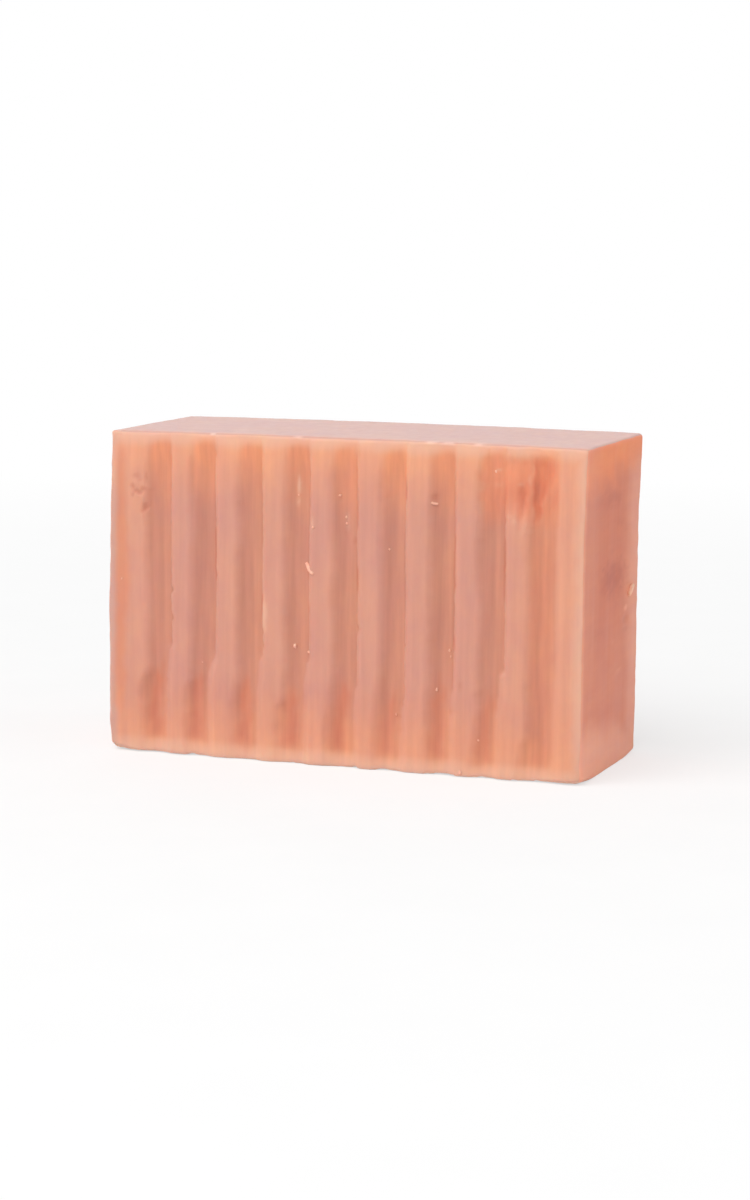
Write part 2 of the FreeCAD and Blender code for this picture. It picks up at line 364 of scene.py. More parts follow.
FRONT_REACH = 3  # the front's lines and marks fade out this far into the block
KNIFE_LINES, KNIFE_SWELL = 0.035, 0.05  # depth of the knife's fine lines, and of its slow waves
TORN_FLATNESS = 0.6  # the share of the crinkle cut that the torn corner lost
TORN_LEVEL = 0.4  # the depth that it has instead, as a share
TORN_DEPTH, TORN_RELIEF = 0.20, 0.16
TEAR_DEPTH, NICK_DEPTH, CREASE_DEPTH, CHIP_HEIGHT = 0.22, 0.22, 0.05, 0.10

END_REACH = 5  # the ends' forms fade out this far along the bar
END_BANDS = 0.07  # depth of the faint bands that the knife left across the ends
# How far each end stands out of the block, and how far to the right its top leans.
RIGHT_SWELL, RIGHT_LEAN = 0.10, (0.35, 36, TOP)
LEFT_SWELL, LEFT_LEAN = 0.12, (0.55, 22, TOP)
PIT_DEPTH, FLAKE_HEIGHT = 0.25, 0.10

CROWN = 0.22  # how much higher the middle of the top is
TOP_RIPPLE, RIPPLE_REACH = 0.05, 4
FOOT_LIFT, FOOT_LIFT_AT_ENDS = 0.05, 0.22  # how far the front's bottom edge is worn up
LIFT_INWARD, LIFT_UP = (6, 0), (8, 0)
FOOT_BITES, FOOT_BITE_NOISE = 0.2, (0.0, 0.6)
BITE_INWARD, BITE_UP = (2.5, 0), (2, 0)


def edge_radius(p):
    """The rounding of the block's edges at each point, which varies from place to place."""
    x, y, z = p.T
    radius = EDGE_RADIUS + EDGE_VARIETY[0] * noise(51, x * 0.35, z * 0.35)
    radius = radius + EDGE_VARIETY[1] * noise(52, y * 0.4, x * 0.9)
    corner = 0
    for end, face, share, along, inward, up in LOW_CORNERS:
        near = share * smooth(along, 0, abs(x - end)) * smooth(inward, 0, abs(y - face))
        corner = corner + near * smooth(up, 0, z - BOTTOM)
    return radius * (1 - banded(SHARP_FOOT, z - BOTTOM)) + CORNER_RADIUS * corner


def rounded(p, radius):
    """The block with its edges rounded."""
    radius = radius[:, None]
    inner = np.clip(p, BLOCK_LOW + radius, BLOCK_HIGH - radius)
    out = p - inner
    reach = np.linalg.norm(out, axis=1, keepdims=True)
    return np.where(reach > 0, inner + out / np.maximum(reach, 1e-9) * radius, p)


def crinkle(x, y, z):
    """How far the crinkle cut moves a point back, from the front's cut to the back's."""
    through = smooth(FRONT, BACK, y)
    levelled = TORN_FLATNESS * torn_mask(x, z)
    front_cut = FRONT_DEPTH * (worn_depth(x, z, FRONT_SEED) * (1 - levelled) + TORN_LEVEL * levelled)
    back_cut = BACK_DEPTH * worn_depth(x, z, BACK_SEED) - BACK_STEP
    return front_cut * (1 - through) + back_cut * through


def front_relief(x, y, z):
    """How deep the front's knife lines, torn corner and marks lie."""
    lines = KNIFE_LINES * rough(61, x * 2.2, z * 0.10) + KNIFE_SWELL * noise(62, x * 0.25, z * 0.12)
    torn = torn_mask(x, z) * (TORN_DEPTH + TORN_RELIEF * rough(63, x * 1.1, z * 0.3))
    torn = torn + TEAR_DEPTH * tear_mask(x, z)
    marks = NICK_DEPTH * dented(x, z, NICKS) + CREASE_DEPTH * crease(x, z) - CHIP_HEIGHT * chipped(x, z)
    return smooth(FRONT + FRONT_REACH, FRONT, y) * (lines + torn + marks)


def right_relief(x, y, z, bands):
    """How far to the right the right end's form and marks move a point."""
    form = RIGHT_SWELL + banded(RIGHT_LEAN, z) + bands
    marks = form - PIT_DEPTH * dented(y, z, PITS) + FLAKE_HEIGHT * dented(y, z, FLAKES)
    return smooth(RIGHT - END_REACH, RIGHT, x) * marks


def left_relief(x, z, bands):
    """How far to the right the left end's form moves a point."""
    return smooth(LEFT + END_REACH, LEFT, x) * (banded(LEFT_LEAN, z) - LEFT_SWELL - bands)


def height_relief(x, y, z):
    """How far the crown of the top and the wear of the foot lift a point."""
    along = (x / HALF_LENGTH) ** 2
    crown = TOP_RISE * z / TOP + CROWN * (1 - along) * smooth(0, TOP, z)
    lift = (FOOT_LIFT + FOOT_LIFT_AT_ENDS * along) * smooth(*LIFT_INWARD, y - FRONT) * smooth(*LIFT_UP, z)
    bites = FOOT_BITES * smooth(*FOOT_BITE_NOISE, rough(66, x * 0.55))
    lift = lift + bites * smooth(*BITE_INWARD, y - FRONT) * smooth(*BITE_UP, z)
    return crown + lift + TOP_RIPPLE * rough(65, x * 0.2, y * 0.3) * smooth(TOP - RIPPLE_REACH, TOP, z)


def shaped(p):
    """Where each point of the block goes: rounded edges, the crinkle cut, and what the hand and knife did."""
    x, y, z = p.T
    bands = END_BANDS * rough(64, y * 0.12, z * 0.6)
    q = rounded(p, edge_radius(p))
    q[:, 0] += right_relief(x, y, z, bands)
    q[:, 0] += left_relief(x, z, bands)
    q[:, 1] += crinkle(x, y, z)
    q[:, 1] += front_relief(x, y, z)
    q[:, 2] += height_relief(x, y, z)
    return q


# ======== stains, and light and shade painted into the colour
# The grooves' darker colour, partly their own and partly painted shade: its fades along the depth of the cut,
# and its round tips, whose middles lie TIP_PLACE to the left of the groove's.
RIGHT_WALL_COLOUR, LEFT_WALL_COLOUR = (0.5, 0.97), (0.10, 0.78)
TIP_CURVE, TIP_PLACE, TIP_ROUGHNESS = 0.22, 0.9, 0.7
TOP_TIP, FOOT_TIP = (0.3, 2.4), (0.2, 2.4)
# How much the fresh soap and painted glow in the grooves take the grooves' orange: a share low down, and the
# heights over which it becomes full.
RIPE_LOW, RIPE_HEIGHTS = 0.5, (18, 28)
# Painted light on the right part of a groove's floor, out of the crest's shade: where it lies across the
# groove, its streaks, and its share between them.
WARM_SIDE, WARM_STREAKS, WARM_LOW = (-2.2, 0.2), (-0.35, 0.45), 0.45

# Fresh, more orange soap and a painted glow of light through the thin edges: bands by the distance from an
# edge, and by the height.
TOP_BAND, GROOVE_TOP_BAND = (1.0, 12.5, 1.8), (0.7, 14.5, 4.5)
FOOT_EDGE, FOOT_BAND = (0.9, 4.5, 1.2), (0.7, 13, 3.5)
RIGHT_BAND, RIGHT_STRENGTH = (9.0, 4.0), 0.5
RIGHT_MORE_LOW, RIGHT_MORE_HIGH = (0.3, 18, 5), (0.3, 38, 46)
WIDE_RIGHT_BAND = (0.38, 15, 9)
LEFT_BAND, LEFT_BAND_EDGE, LEFT_BAND_FRESH = (4.0, 2.3), (0.5, 1.7), 0.8
LEFT_SIDE, LEFT_SIDE_STRENGTH, LEFT_SIDE_HIGH = (9.5, 5.0), 0.25, (0.35, 37, 44)
SIDE_WAVES = 0.8

# Redder cores of the grooves: how high they end, and where they lie across a groove.
CORE_HEIGHT, CORE_SLOW, CORE_QUICK = 12.8, 2.2, 2.4
CORE_PLACE, CORE_SWAY, CORE_WIDTH = 1.1, 0.6, 1.2
CORE_PLAIN, CORE_STREAKS = 0.7, (0.3, -0.4, 0.4)
CORE_TOP, CORE_FOOT = (1.5, -2.0), (1.6, 4.0)
CORE_LESS_RIGHT, CORE_LESS_LAST = (0.2, 0, 10), (0.4, 28, 31)
BACK_CORE = 0.5
# The same redder soap low on the whole front, in the last groove, in the torn corner and in the left band.
RED_FOOT, RED_FOOT_EDGE = (0.12, 15, 10), (2.5, 6.0)
LAST_CORE, LAST_CORE_RIGHT = (0.36, 30.8, 32.2), (36.2, 33.8)
LAST_CORE_TOP, LAST_CORE_FOOT = (41, 34), (1.5, 4.0)
TORN_CORE, TORN_CORE_HIGH = 0.4, (48, 44)
LEFT_CORE, LEFT_CORE_TOP, LEFT_CORE_FOOT = 0.55, (52, 46), (0, 11)

# Dents and creases darkened with painted shade, dust with painted sheen, and pale edges, partly painted
# light.
NICK_SHADE, CREASE_SHADE = 0.6, 0.55
TEAR_STAIN, TEAR_LESS_HIGH = 0.72, (0.2, 45, 48)
TOP_EDGE_DUST, FOOT_EDGE_DUST = (0.25, 1.0, 0.0), (0.4, 1.0, 0.0)
LEFT_EDGE_DUST, LEFT_EDGE_LESS_HIGH = (0.65, 2.0, 0.4), (0.5, 40, 46)
TOP_LESS_IN_FRONT, END_TOP_DUST = (0.3, 4, 0), (0.2, 0.9, 0.0)
# The pale edges are partly painted light: a highlight down the right edge, and light at the foot.
PALE_EDGE = (0.8, 2.5, 0.2)
TOP_MARGIN, FOOT_MARGIN, RIGHT_MARGIN, LEFT_MARGIN = 0.5, 0.7, 0.2, 1.4
TOP_LESS_IN_CUT, FOOT_LESS_IN_CUT, TOP_LESS_OVER_TORN = 0.7, 0.3, 0.6
OVER_TORN = 3  # nearer the top than this, the torn corner is felt as it is there
# The chips' pale colour with its painted highlight, nearer the front than 1.4 mm.
CHIP_PALE_HIGHLIGHT = (0.5, 1.4, 0.4)
LINES_FADE = (0.5, 2.0)  # the knife's lines fade out this near the top

# The ends. Their orange top and their pale foot are thinner towards the back, by this much in a millimetre.
END_TAPER = 0.10
END_ORANGE_BAND = (8.5, 2.0)
END_FOOT_PALE, END_LOW_PALE = (11, 2), (0.2, 30, 12)
END_BACK_PALE, END_BACK_STRENGTH, END_BACK_LESS_HIGH = (5, 15), 0.75, 0.6
# END_FRONT_EDGE and END_EDGE_PALE paint a highlight along the ends' front edges.
END_FRONT_PALE, END_FRONT_EDGE = (0.27, -5, -14), (0.45, -14, -16)
END_EDGE_PALE, FLAKE_PALE = (0.35, 0.9, 0.1), 0.85


def on_side(value, face, tolerance=1e-3):
    """Whether each value lies on a face of the block."""
    return np.abs(value - face) < tolerance


def coloured_depth(at, depth):
    """A depth of the cut on both waved faces, 0 to 1, levelled where the corner is torn."""
    in_front = at.y < (FRONT + BACK) / 2
    cut = np.where(in_front, depth(at.x, at.z, FRONT_SEED), 1 - depth(at.x, at.z, BACK_SEED)) * at.waved
    return np.clip(cut * (1 - TORN_FLATNESS * at.torn) + TORN_LEVEL * TORN_FLATNESS * at.torn, 0, 1)


def surveyed(p):
    """What the stains share: where each point of the block lies, and what is there."""
    x, y, z = p.T
    at = SimpleNamespace(x=x, y=y, z=z)
    at.front, at.back = on_side(y, FRONT), on_side(y, BACK)
    at.top, at.bottom = on_side(z, TOP), on_side(z, BOTTOM)
    at.right = on_side(x, RIGHT)
    at.waved, at.end = at.front | at.back, at.right | on_side(x, LEFT)
    at.from_top, at.from_foot = TOP - z, z - BOTTOM
    at.from_left, at.from_right = x - LEFT, RIGHT - x
    at.from_front = y - FRONT
    at.torn = torn_mask(x, z) * at.front
    at.cut = coloured_depth(at, cut_depth)
    at.hollow = coloured_depth(at, worn_depth)
    at.place = groove_place(x, z, FRONT_SEED)
    at.wander = rough(71, x * 0.22, z * 0.22 + y * 0.2)
    return at


def groove_colour_and_shade(at):
    """The grooves' darker colour, partly their own and partly painted shade, which ends in a round tip before
    the top and the foot.
    """
    colour = np.where(at.place > 0, smooth(*RIGHT_WALL_COLOUR, at.cut), smooth(*LEFT_WALL_COLOUR, at.cut))
    round_end = TIP_CURVE * (at.place + TIP_PLACE) ** 2
    top_edge = at.from_top - round_end + TIP_ROUGHNESS * rough(82, at.x * 0.5, at.z * 0.3)
    foot_edge = at.from_foot - round_end + TIP_ROUGHNESS * rough(83, at.x * 0.5, at.z * 0.3)
    return colour * smooth(*TOP_TIP, top_edge) * smooth(*FOOT_TIP, foot_edge)


def lit_floor_streaks(at):
    """Painted light: warmer, lighter streaks on the right part of a groove's floor, out of the crest's shade.
    """
    streaks = smooth(*WARM_STREAKS, rough(76, at.x * 0.9, at.z * 0.06))
    return at.hollow ** 3 * smooth(*WARM_SIDE, at.place) * (WARM_LOW + (1 - WARM_LOW) * streaks)


def left_band(at):
    """A narrow band just inside the left end."""
    band = smooth(*LEFT_BAND, at.from_left + SIDE_WAVES * rough(72, at.z * 0.2))
    return band * smooth(*LEFT_BAND_EDGE, at.from_left)


def right_band(at):
    """A band along the right end, stronger low and high, inside a wider and fainter one."""
    strength = RIGHT_STRENGTH + banded(RIGHT_MORE_LOW, at.z) + banded(RIGHT_MORE_HIGH, at.z)
    band = strength * smooth(*RIGHT_BAND, at.from_right + SIDE_WAVES * rough(73, at.z * 0.2))
    return np.maximum(band, banded(WIDE_RIGHT_BAND, at.from_right))


def fresh_soap_and_glow(at):
    """Fresh, more orange soap along the edges of the front and the back, with a painted glow of light through
    the thin edges.
    """
    left_side = (LEFT_SIDE_STRENGTH + banded(LEFT_SIDE_HIGH, at.z)) * smooth(*LEFT_SIDE, at.from_left)
    bands = np.maximum.reduce([
        banded(TOP_BAND, at.from_top + 1.5 * at.wander),
        at.hollow ** 2 * banded(GROOVE_TOP_BAND, at.from_top + 2 * at.wander),
        banded(FOOT_EDGE, at.from_foot + 1.2 * at.wander),
        banded(FOOT_BAND, at.from_foot + 2 * at.wander),
        right_band(at),
        LEFT_BAND_FRESH * left_band(at),
        left_side,
    ])
    return np.where(at.end, 0, bands)


def low_core(at):
    """The redder core of each groove near the foot, weaker to the right."""
    tips = CORE_HEIGHT + CORE_SLOW * rough(74, at.x * 0.55) + CORE_QUICK * rough(77, at.x * 1.7, at.z * 0.1)
    off_place = at.place + CORE_PLACE + CORE_SWAY * rough(79, at.x * 0.12, at.z * 0.45)
    core = np.exp(-(off_place / CORE_WIDTH) ** 2)
    core = core * (CORE_PLAIN + banded(CORE_STREAKS, rough(80, at.x * 1.8, at.z * 0.12)))
    core = core * smooth(*CORE_TOP, at.z - tips) * smooth(*CORE_FOOT, at.from_foot)
    return core * (1 - banded(CORE_LESS_RIGHT, at.x) - banded(CORE_LESS_LAST, at.x))


def red_soap(at):
    """Redder soap: the cores, the foot, the torn corner and the left band."""
    grooved = low_core(at)
    last = banded(LAST_CORE, at.x) * smooth(*LAST_CORE_RIGHT, at.x) * smooth(*LAST_CORE_TOP, at.z)
    bands = np.maximum.reduce([
        grooved,
        banded(RED_FOOT, at.z) * smooth(*RED_FOOT_EDGE, at.z),
        last * smooth(*LAST_CORE_FOOT, at.from_foot),
        TORN_CORE * at.torn * smooth(*TORN_CORE_HIGH, at.z),
        LEFT_CORE * left_band(at) * smooth(*LEFT_CORE_TOP, at.z) * smooth(*LEFT_CORE_FOOT, at.z),
    ])
    return np.where(at.front, bands, BACK_CORE * grooved * at.back)


def dents_painted_shade(at):
    """Painted shade: the dark insides of the front's nicks and creases."""
    dents = np.maximum(NICK_SHADE * dented(at.x, at.z, NICKS), CREASE_SHADE * crease(at.x, at.z))
    return np.where(at.front, dents, 0)


def torn_open(at):
    """The red inside of the tears, less so at the top."""
    return (TEAR_STAIN - banded(TEAR_LESS_HIGH, at.z)) * tear_mask(at.x, at.z) * at.front


def dust_and_sheen(at):
    """Pinkish dust with a painted sheen all over the top, and dust along some edges of the other faces."""
    left_edge = banded(LEFT_EDGE_DUST, at.from_left + 0.5 * at.wander)
    edges = np.maximum.reduce([
        banded(TOP_EDGE_DUST, at.from_top + 0.2 * at.wander),
        banded(FOOT_EDGE_DUST, at.from_foot),
        left_edge * (1 - banded(LEFT_EDGE_LESS_HIGH, at.z)),
    ])
    on_top = 1 - banded(TOP_LESS_IN_FRONT, at.from_front + at.wander)
    return np.where(at.top, on_top, np.where(at.waved, edges, banded(END_TOP_DUST, at.from_top)))


def pale_soap_and_light(at):
    """Paler soap along the edges of all four sides, in spots on the front, and under the bar. Part is painted
    light: a highlight down the front's right edge, and light at the foot and under the bar against the shade
    where the bar meets the floor.
    """
    over_torn = torn_mask(at.x, np.minimum(at.z, TOP - OVER_TORN))
    from_edges = np.minimum.reduce([
        at.from_top - TOP_MARGIN + TOP_LESS_IN_CUT * at.cut + TOP_LESS_OVER_TORN * over_torn,
        at.from_foot - FOOT_MARGIN + FOOT_LESS_IN_CUT * at.cut,
        at.from_right + RIGHT_MARGIN,
        at.from_left + LEFT_MARGIN,
    ])
    pale = np.where(at.waved, banded(PALE_EDGE, from_edges + 0.5 * at.wander), at.bottom)
    pale = np.maximum(pale, at.front * dented(at.x, at.z, PALE_SPOTS))
    # On the ends: painted highlight along the front edge.
    return np.where(at.end, banded(END_EDGE_PALE, at.from_front), pale)


def pale_end(at, orange_end):
    """Peach soap on the ends: their foot, their front and back edges, and the right end's flakes. Along the
    front edge it is painted highlight.
    """
    back_strength = END_BACK_STRENGTH - END_BACK_LESS_HIGH * orange_end
    return at.end * np.maximum.reduce([
        smooth(*END_FOOT_PALE, at.from_foot + END_TAPER * at.y + 1.5 * at.wander),
        banded(END_LOW_PALE, at.from_foot + 3 * at.wander),
        back_strength * smooth(*END_BACK_PALE, at.y + at.wander),
        banded(END_FRONT_PALE, at.y),
        banded(END_FRONT_EDGE, at.y),
        FLAKE_PALE * dented(at.y, at.z, FLAKES) * at.right,
    ])


def stains(p):
    """What the material needs at each point, each from 0 to 1."""
    at = surveyed(p)
    colour = groove_colour_and_shade(at)
    orange_end = smooth(*END_ORANGE_BAND, at.from_top + END_TAPER * at.y + 1.8 * at.wander)
    return {
        # hollow: the grooves' darker colour, partly painted shade.
        "hollow": colour,
        "groove_glow": colour * (RIPE_LOW + (1 - RIPE_LOW) * smooth(*RIPE_HEIGHTS, at.z)),
        "lit_groove_floor": lit_floor_streaks(at),
        # fresh: fresh soap and painted glow along the edges.
        "fresh_and_glow": fresh_soap_and_glow(at),
        "core": red_soap(at),
        "torn": at.torn,
        "tear": torn_open(at),
        # dent: painted shade in the nicks and creases.
        "dent_shade": dents_painted_shade(at),
        # dust: dust, and painted sheen on the top.
        "dust": dust_and_sheen(at),
        # pale: paler soap, with painted highlight and painted light at the edges and the foot.
        "pale": pale_soap_and_light(at),
        # chip: pale chips with a painted highlight.
        "chip_highlight": chipped(at.x, at.z) * banded(CHIP_PALE_HIGHLIGHT, at.from_front),
        "cut": at.waved * smooth(*LINES_FADE, at.from_top),
        "sliced": at.end,
        "end_top": orange_end * at.end,
        "pale_end": pale_end(at, orange_end),
        "bruise": dented(at.y, at.z, BRUISES + PITS, BRUISE_ROUGHNESS) * at.right,
    }


# ======== the bar's mesh
COLUMNS, ROWS, LAYERS = 262, 116, 34
# The grid's lines crowd together near the block's edges and the steep walls, each (reach, weight).
END_CROWD, FACE_CROWD, HEIGHT_CROWD, WALL_CROWD = (0.7, 3), (0.8, 9), (0.7, 4), (0.9, 1.5)
WALL_PLACE = 0.8  # how far right of a groove's middle its steep wall is
# Where the grid is cut finer, each (lowest corner, highest corner).
NICKED_CORNER = ((-37.5, FRONT - 1, 37), (-32, FRONT + 1, 47))
TORN_CORNER = ((22.5, FRONT - 1, 38.5), (36.5, FRONT + 1, 51.5))
FLAKED_EDGE = ((RIGHT - 1, 6.5, 19.5), (RIGHT + 1, 14.5, 33))


def box_shell(xs, ys, zs):
    """The surface of a block on a grid: its points, and its quads with their outsides out."""
    shape = (len(xs), len(ys), len(zs))
    i, j, k = np.indices(shape)
    outside = (i == 0) | (i == shape[0] - 1) | (j == 0) | (j == shape[1] - 1) | (k == 0) | (k == shape[2] - 1)
    number = np.full(shape, -1)
    number[outside] = np.arange(outside.sum())
    points = np.stack([xs[i[outside]], ys[j[outside]], zs[k[outside]]], axis=1)

    def skin(sheet, turned):
        quads = np.stack([sheet[:-1, :-1], sheet[1:, :-1], sheet[1:, 1:], sheet[:-1, 1:]], axis=-1)
        quads = quads.reshape(-1, 4)
        return quads[:, ::-1] if turned else quads

    quads = np.concatenate([
        skin(number[:, 0, :], False), skin(number[:, -1, :], True),
        skin(number[-1, :, :], False), skin(number[0, :, :], True),
        skin(number[:, :, -1], False), skin(number[:, :, 0], True),
    ])
    return points, quads


def refine(mesh, windows):
    """Cuts a mesh's faces finer inside each window."""
    shell = bmesh.new()
    shell.from_mesh(mesh)
    edges = set()
    for face in shell.faces:
        middle = face.calc_center_median()
        if any(all(low[i] < middle[i] < high[i] for i in range(3)) for low, high in windows):
            edges.update(face.edges)
    bmesh.ops.subdivide_edges(shell, edges=list(edges), cuts=1, use_grid_fill=True)
    shell.to_mesh(mesh)
    shell.free()


def block_mesh():
    """The plain block on its grid."""
    walls = [(FIRST_GROOVE + PITCH * k + WALL_PLACE, *WALL_CROWD) for k in range(GROOVE_COUNT)]
    xs = spread(LEFT, RIGHT, COLUMNS, [(LEFT, *END_CROWD), (RIGHT, *END_CROWD)] + walls)
    ys = spread(FRONT, BACK, LAYERS, [(FRONT, *FACE_CROWD), (BACK, *FACE_CROWD)])
    zs = spread(BOTTOM, TOP, ROWS, [(BOTTOM, *HEIGHT_CROWD), (TOP, *HEIGHT_CROWD)])
    points, quads = box_shell(xs, ys, zs)
    mesh = bpy.data.meshes.new("soap_block")
    mesh.from_pydata(points.tolist(), [], quads.tolist())
    refine(mesh, [NICKED_CORNER, TORN_CORNER, FLAKED_EDGE])
    return mesh


# ======== pieces
# Crumbs on the front, each (across, up, radius).
CRUMBS = [
    (-7.8, 18.9, 0.26), (-5.3, 18.1, 0.26), (-7.3, 42.9, 0.15), (-0.2, 43.2, 0.24),
    (0.8, 39.8, 0.16), (0.9, 38.8, 0.18), (-4.5, 38.0, 0.22), (8.1, 35.1, 0.16),
    (25.5, 48.0, 0.18), (-23.9, 15.3, 0.14), (18.2, 19.8, 0.18), (18.4, 18.8, 0.14),
    (16.2, 13.5, 0.18), (9.4, 9.1, 0.14), (23.2, 6.0, 0.16), (20.4, 0.8, 0.24), (-37.7, 28.2, 0.16),
]
CRUMB_SEEDS, CRUMB_HEIGHTS = (0, 50), (0.8, 1.5)  # what is drawn for each crumb
CRUMB_LUMPS, CRUMB_CELLS = 0.28, 1.3  # its roughness, and the cells of noise in its radius
CRUMB_STAND = 0.2  # how far its middle lies off the face, in its radii

# Shavings, each (points along it on its face, thickness).
FRONT_CURLS = [([(-6.0, 32.3), (-5.6, 31.7), (-5.1, 31.1), (-4.4, 30.6)], 0.33),
               ([(15.1, 42.8), (15.6, 42.5), (16.1, 42.6)], 0.22)]
END_CURLS = [([(9.3, 26.5), (9.8, 27.1), (10.5, 27.6), (11.5, 27.9)], 0.4)]
CURL_TIP, CURL_BELLY, CURL_ARC = 0.35, 0.8, (0.15, 0.7)  # a curl's thickness along it, as shares
CURL_TWIST = 1.2
CURL_WELD = 0.002
END_GAP, END_CURL_LIFT = 0.12, 0.2  # how far the right end is taken to stand out, and its curl off that


def placed(name, data):
    """A new object in the scene."""
    thing = bpy.data.objects.new(name, data)
    scene.collection.objects.link(thing)
    return thing


def add_piece(name, mesh, material):
    """A smooth piece of soap that rides on the bar's body."""
    mesh.polygons.foreach_set("use_smooth", np.ones(len(mesh.polygons), bool))
    mesh.materials.append(material)
    mesh.update()
    piece = placed(name, mesh)
    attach(piece, "root")
    return piece


def mesh_of(name, shape):
    """A mesh made from a bmesh, which is freed."""
    mesh = bpy.data.meshes.new(name)
    shape.to_mesh(mesh)
    shape.free()
    return mesh


def add_bar(material):
    """The soap block, which stands for the CAD bar."""
    mesh = block_mesh()
    points = np.empty(len(mesh.vertices) * 3)
    mesh.vertices.foreach_get("co", points)
    points = points.reshape(-1, 3)
    mesh.vertices.foreach_set("co", (shaped(points) * MM).ravel())
    for name, values in stains(points).items():
        layer = mesh.attributes.new(name, "FLOAT", "POINT")
        layer.data.foreach_set("value", np.clip(values, 0, 1).astype(np.float32))
    bar = add_piece("soap_block", mesh, material)
    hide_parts("soap_bar")


def front_point(x, z):
    """A point on the front face."""
    depth = worn_depth(np.array([x]), np.array([z]), FRONT_SEED)[0] * FRONT_DEPTH
    return Vector((x, FRONT + depth, z * (1 + TOP_RISE / TOP)))


def end_point(y, z):
    """A point just off the right end."""
    on_end = Vector((RIGHT + END_GAP + float(banded(RIGHT_LEAN, z)), y, z * (1 + TOP_RISE / TOP)))
    return on_end + Vector((END_CURL_LIFT, 0, 0))


def add_crumbs(material):
    """Bits of soap that the knife left stuck to the front."""
    draw = np.random.default_rng(SEED + 1)
    shape = bmesh.new()
    for x, z, radius in CRUMBS:
        lump = bmesh.ops.create_icosphere(shape, subdivisions=3, radius=radius)["verts"]
        seed = draw.uniform(*CRUMB_SEEDS)
        tall = draw.uniform(*CRUMB_HEIGHTS)
        for vertex in lump:
            across = vertex.co.x / radius + seed
            up = vertex.co.z / radius + vertex.co.y / radius
            vertex.co *= 1 + CRUMB_LUMPS * float(noise(81, across * CRUMB_CELLS, up * CRUMB_CELLS))
            vertex.co.z *= tall
        place = front_point(x, z) + Vector((0, -CRUMB_STAND * radius, 0))
        bmesh.ops.translate(shape, verts=lump, vec=place)
    bmesh.ops.scale(shape, vec=(MM, MM, MM), verts=shape.verts)
    add_piece("soap_crumbs", mesh_of("soap_crumbs", shape), material)


def curl_curve(name, path, thickness):
    """A twisted curve along a path of points, thickest in the middle."""
    curve = bpy.data.curves.new(name, "CURVE")
    curve.dimensions = "3D"
    curve.resolution_u = 8
    curve.bevel_depth = thickness * MM
    curve.bevel_resolution = 3
    curve.use_fill_caps = True
    spline = curve.splines.new("NURBS")
    spline.points.add(len(path) - 1)
    for i, (point, place) in enumerate(zip(spline.points, path)):
        share = i / (len(path) - 1)
        point.co = (*(place * MM), 1)
        point.radius = CURL_TIP + CURL_BELLY * math.sin(math.pi * (CURL_ARC[0] + CURL_ARC[1] * share))
        point.tilt = CURL_TWIST * share
    spline.order_u = 3
    spline.use_endpoint_u = True
    return curve


def add_curl(name, path, thickness, material):
    """A thin curled shaving that lies along a path of points on the surface."""
    holder = bpy.data.objects.new(name, curl_curve(name, path, thickness))
    shape = bmesh.new()
    shape.from_mesh(bpy.data.meshes.new_from_object(holder))
    bpy.data.objects.remove(holder)
    bmesh.ops.remove_doubles(shape, verts=shape.verts, dist=CURL_WELD * MM)
    add_piece(name, mesh_of(name, shape), material)


def add_curls(kind, curls, face_point, material):
    """The shavings on one face."""
    for number, (path, thickness) in enumerate(curls, 1):
        add_curl(f"{kind}_{number}", [face_point(*place) for place in path], thickness, material)


# ======== materials
# Colours are 0-255, as they look in plain light.
CREST_PINK = (220, 161, 143)
# The grooves' darker pink, partly their own colour and partly painted shade.
HOLLOW_SHADE_PINK = (212, 149, 129)
# Painted light: the lighter, warmer right part of the grooves' floors.
HOLLOW_LIT_WARM = (220, 156, 132)
# Fresh soap with a painted glow of light through the edges, on the crests and in the grooves.
FRESH_GLOW_ORANGE = (237, 171, 138)
HOLLOW_GLOW_ORANGE = (242, 165, 126)
CORE_ORANGE = (218, 139, 112)
# Painted shade inside the nicks and along the creases.
DENT_SHADE_BROWN = (206, 125, 101)
# Paler soap, and painted light: a highlight on the right edge and light at the foot.
PALE_AND_LIT_PEACH = (236, 190, 166)
# Dust with painted sheen: the top's pale pink stands partly for light glancing off it.
DUST_AND_SHEEN_PINK = (207, 168, 162)
CRUMB_PINK = (232, 174, 152)
CRUMB_CREAM = (246, 192, 166)
# Painted light: the end's shaving is coloured lighter than the crumbs, as it lies on the shaded end.
CURL_LIT_PEACH = (252, 190, 160)
CURL_LIT_CREAM = (255, 210, 182)
# Pale chips with a painted highlight.
CHIP_HIGHLIGHT_WHITE = (247, 214, 203)
END_RED = (221, 131, 105)
END_PEACH = (248, 174, 148)
END_ORANGE = (253, 148, 101)
END_DARK = (204, 114, 92)
TORN_ORANGE = (237, 157, 123)
TEAR_RED = (224, 127, 94)
FLOOR_GREYS = (243, 243, 243), (246, 246, 246)

# Tints multiply a colour.
NO_TINT = (255, 255, 255)
CREST_LINES, HOLLOW_LINES = (247, 246, 247), (239, 236, 236)
BLOTCH_TINTS = (251, 249, 250), (255, 255, 250)
DRIFT_TINTS = (252, 250, 252), (255, 254, 250)

# Grain, in cells per millimetre along X, Y and Z, and the part of its range that is used.
KNIFE_GRAIN, KNIFE_RANGE = (0.9, 0.5, 0.05), (0.3, 0.7)
BLOTCH_GRAIN, SLICE_GRAIN, BLOTCH_RANGE = (0.40, 0.40, 0.22), (0.02, 0.10, 0.45), (0.35, 0.65)
DRIFT_GRAIN, DRIFT_RANGE = (0.11, 0.11, 0.06), (0.38, 0.62)
FINE_GRAIN, FINE_SLICE_GRAIN = (2.2, 2.2, 0.3), (0.5, 0.5, 2.2)
CRUMB_GRAIN, CRUMB_RANGE = (2.5, 2.5, 2.5), (0.35, 0.65)
FLOOR_GRAIN, FLOOR_RANGE = (0.05, 0.05, 0.05), (0.3, 0.7)

